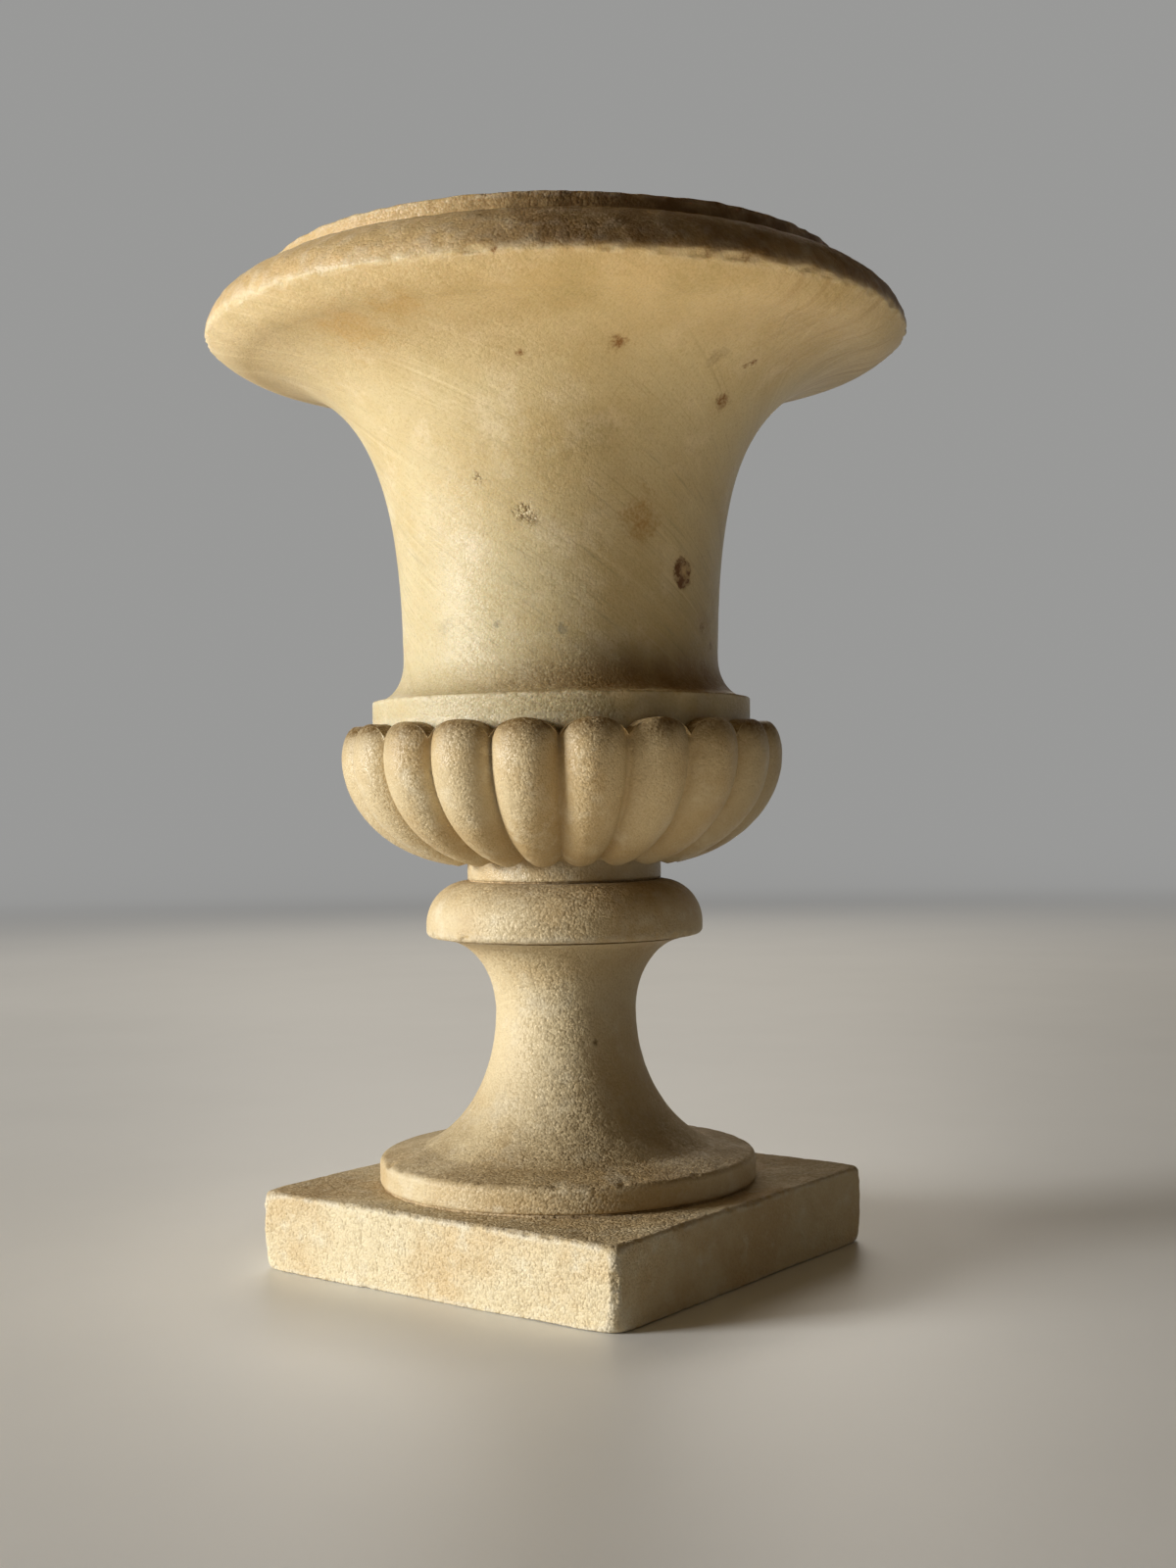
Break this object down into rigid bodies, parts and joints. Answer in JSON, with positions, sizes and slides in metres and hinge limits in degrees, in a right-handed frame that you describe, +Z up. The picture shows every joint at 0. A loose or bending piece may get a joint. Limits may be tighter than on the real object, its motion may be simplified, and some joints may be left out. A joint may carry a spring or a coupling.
{
  "type": "marble jardiniere",
  "caption": "Campana-shaped marble jardiniere: hollow flared bell with a rolled lip, gadrooned bowl, torus collar, waisted foot and square plinth, clamped by a tie rod.",
  "frame": {"origin": "middle of the plinth's underside, on the ground", "axes": "+Z up along the turning axis of the stones; X and Y square to the plinth's sides"},
  "size_m": [0.284, 0.284, 0.4],
  "materials": {
    "marble": "satin",
    "mortar": "matte",
    "iron": "matte",
    "leather": "matte"
  },
  "bodies": {
    "root": {"plinth": "marble", "foot": "marble", "collar": "marble", "bowl": "marble", "bell": "marble", "plinth_mortar": "mortar", "collar_mortar": "mortar", "neck_mortar": "mortar", "bowl_mortar": "mortar", "base_packing": "leather", "base_plate": "iron", "base_nut": "iron", "floor_packing": "leather", "floor_plate": "iron", "floor_nut": "iron", "tie_rod": "iron"}
  },
  "joints": []
}
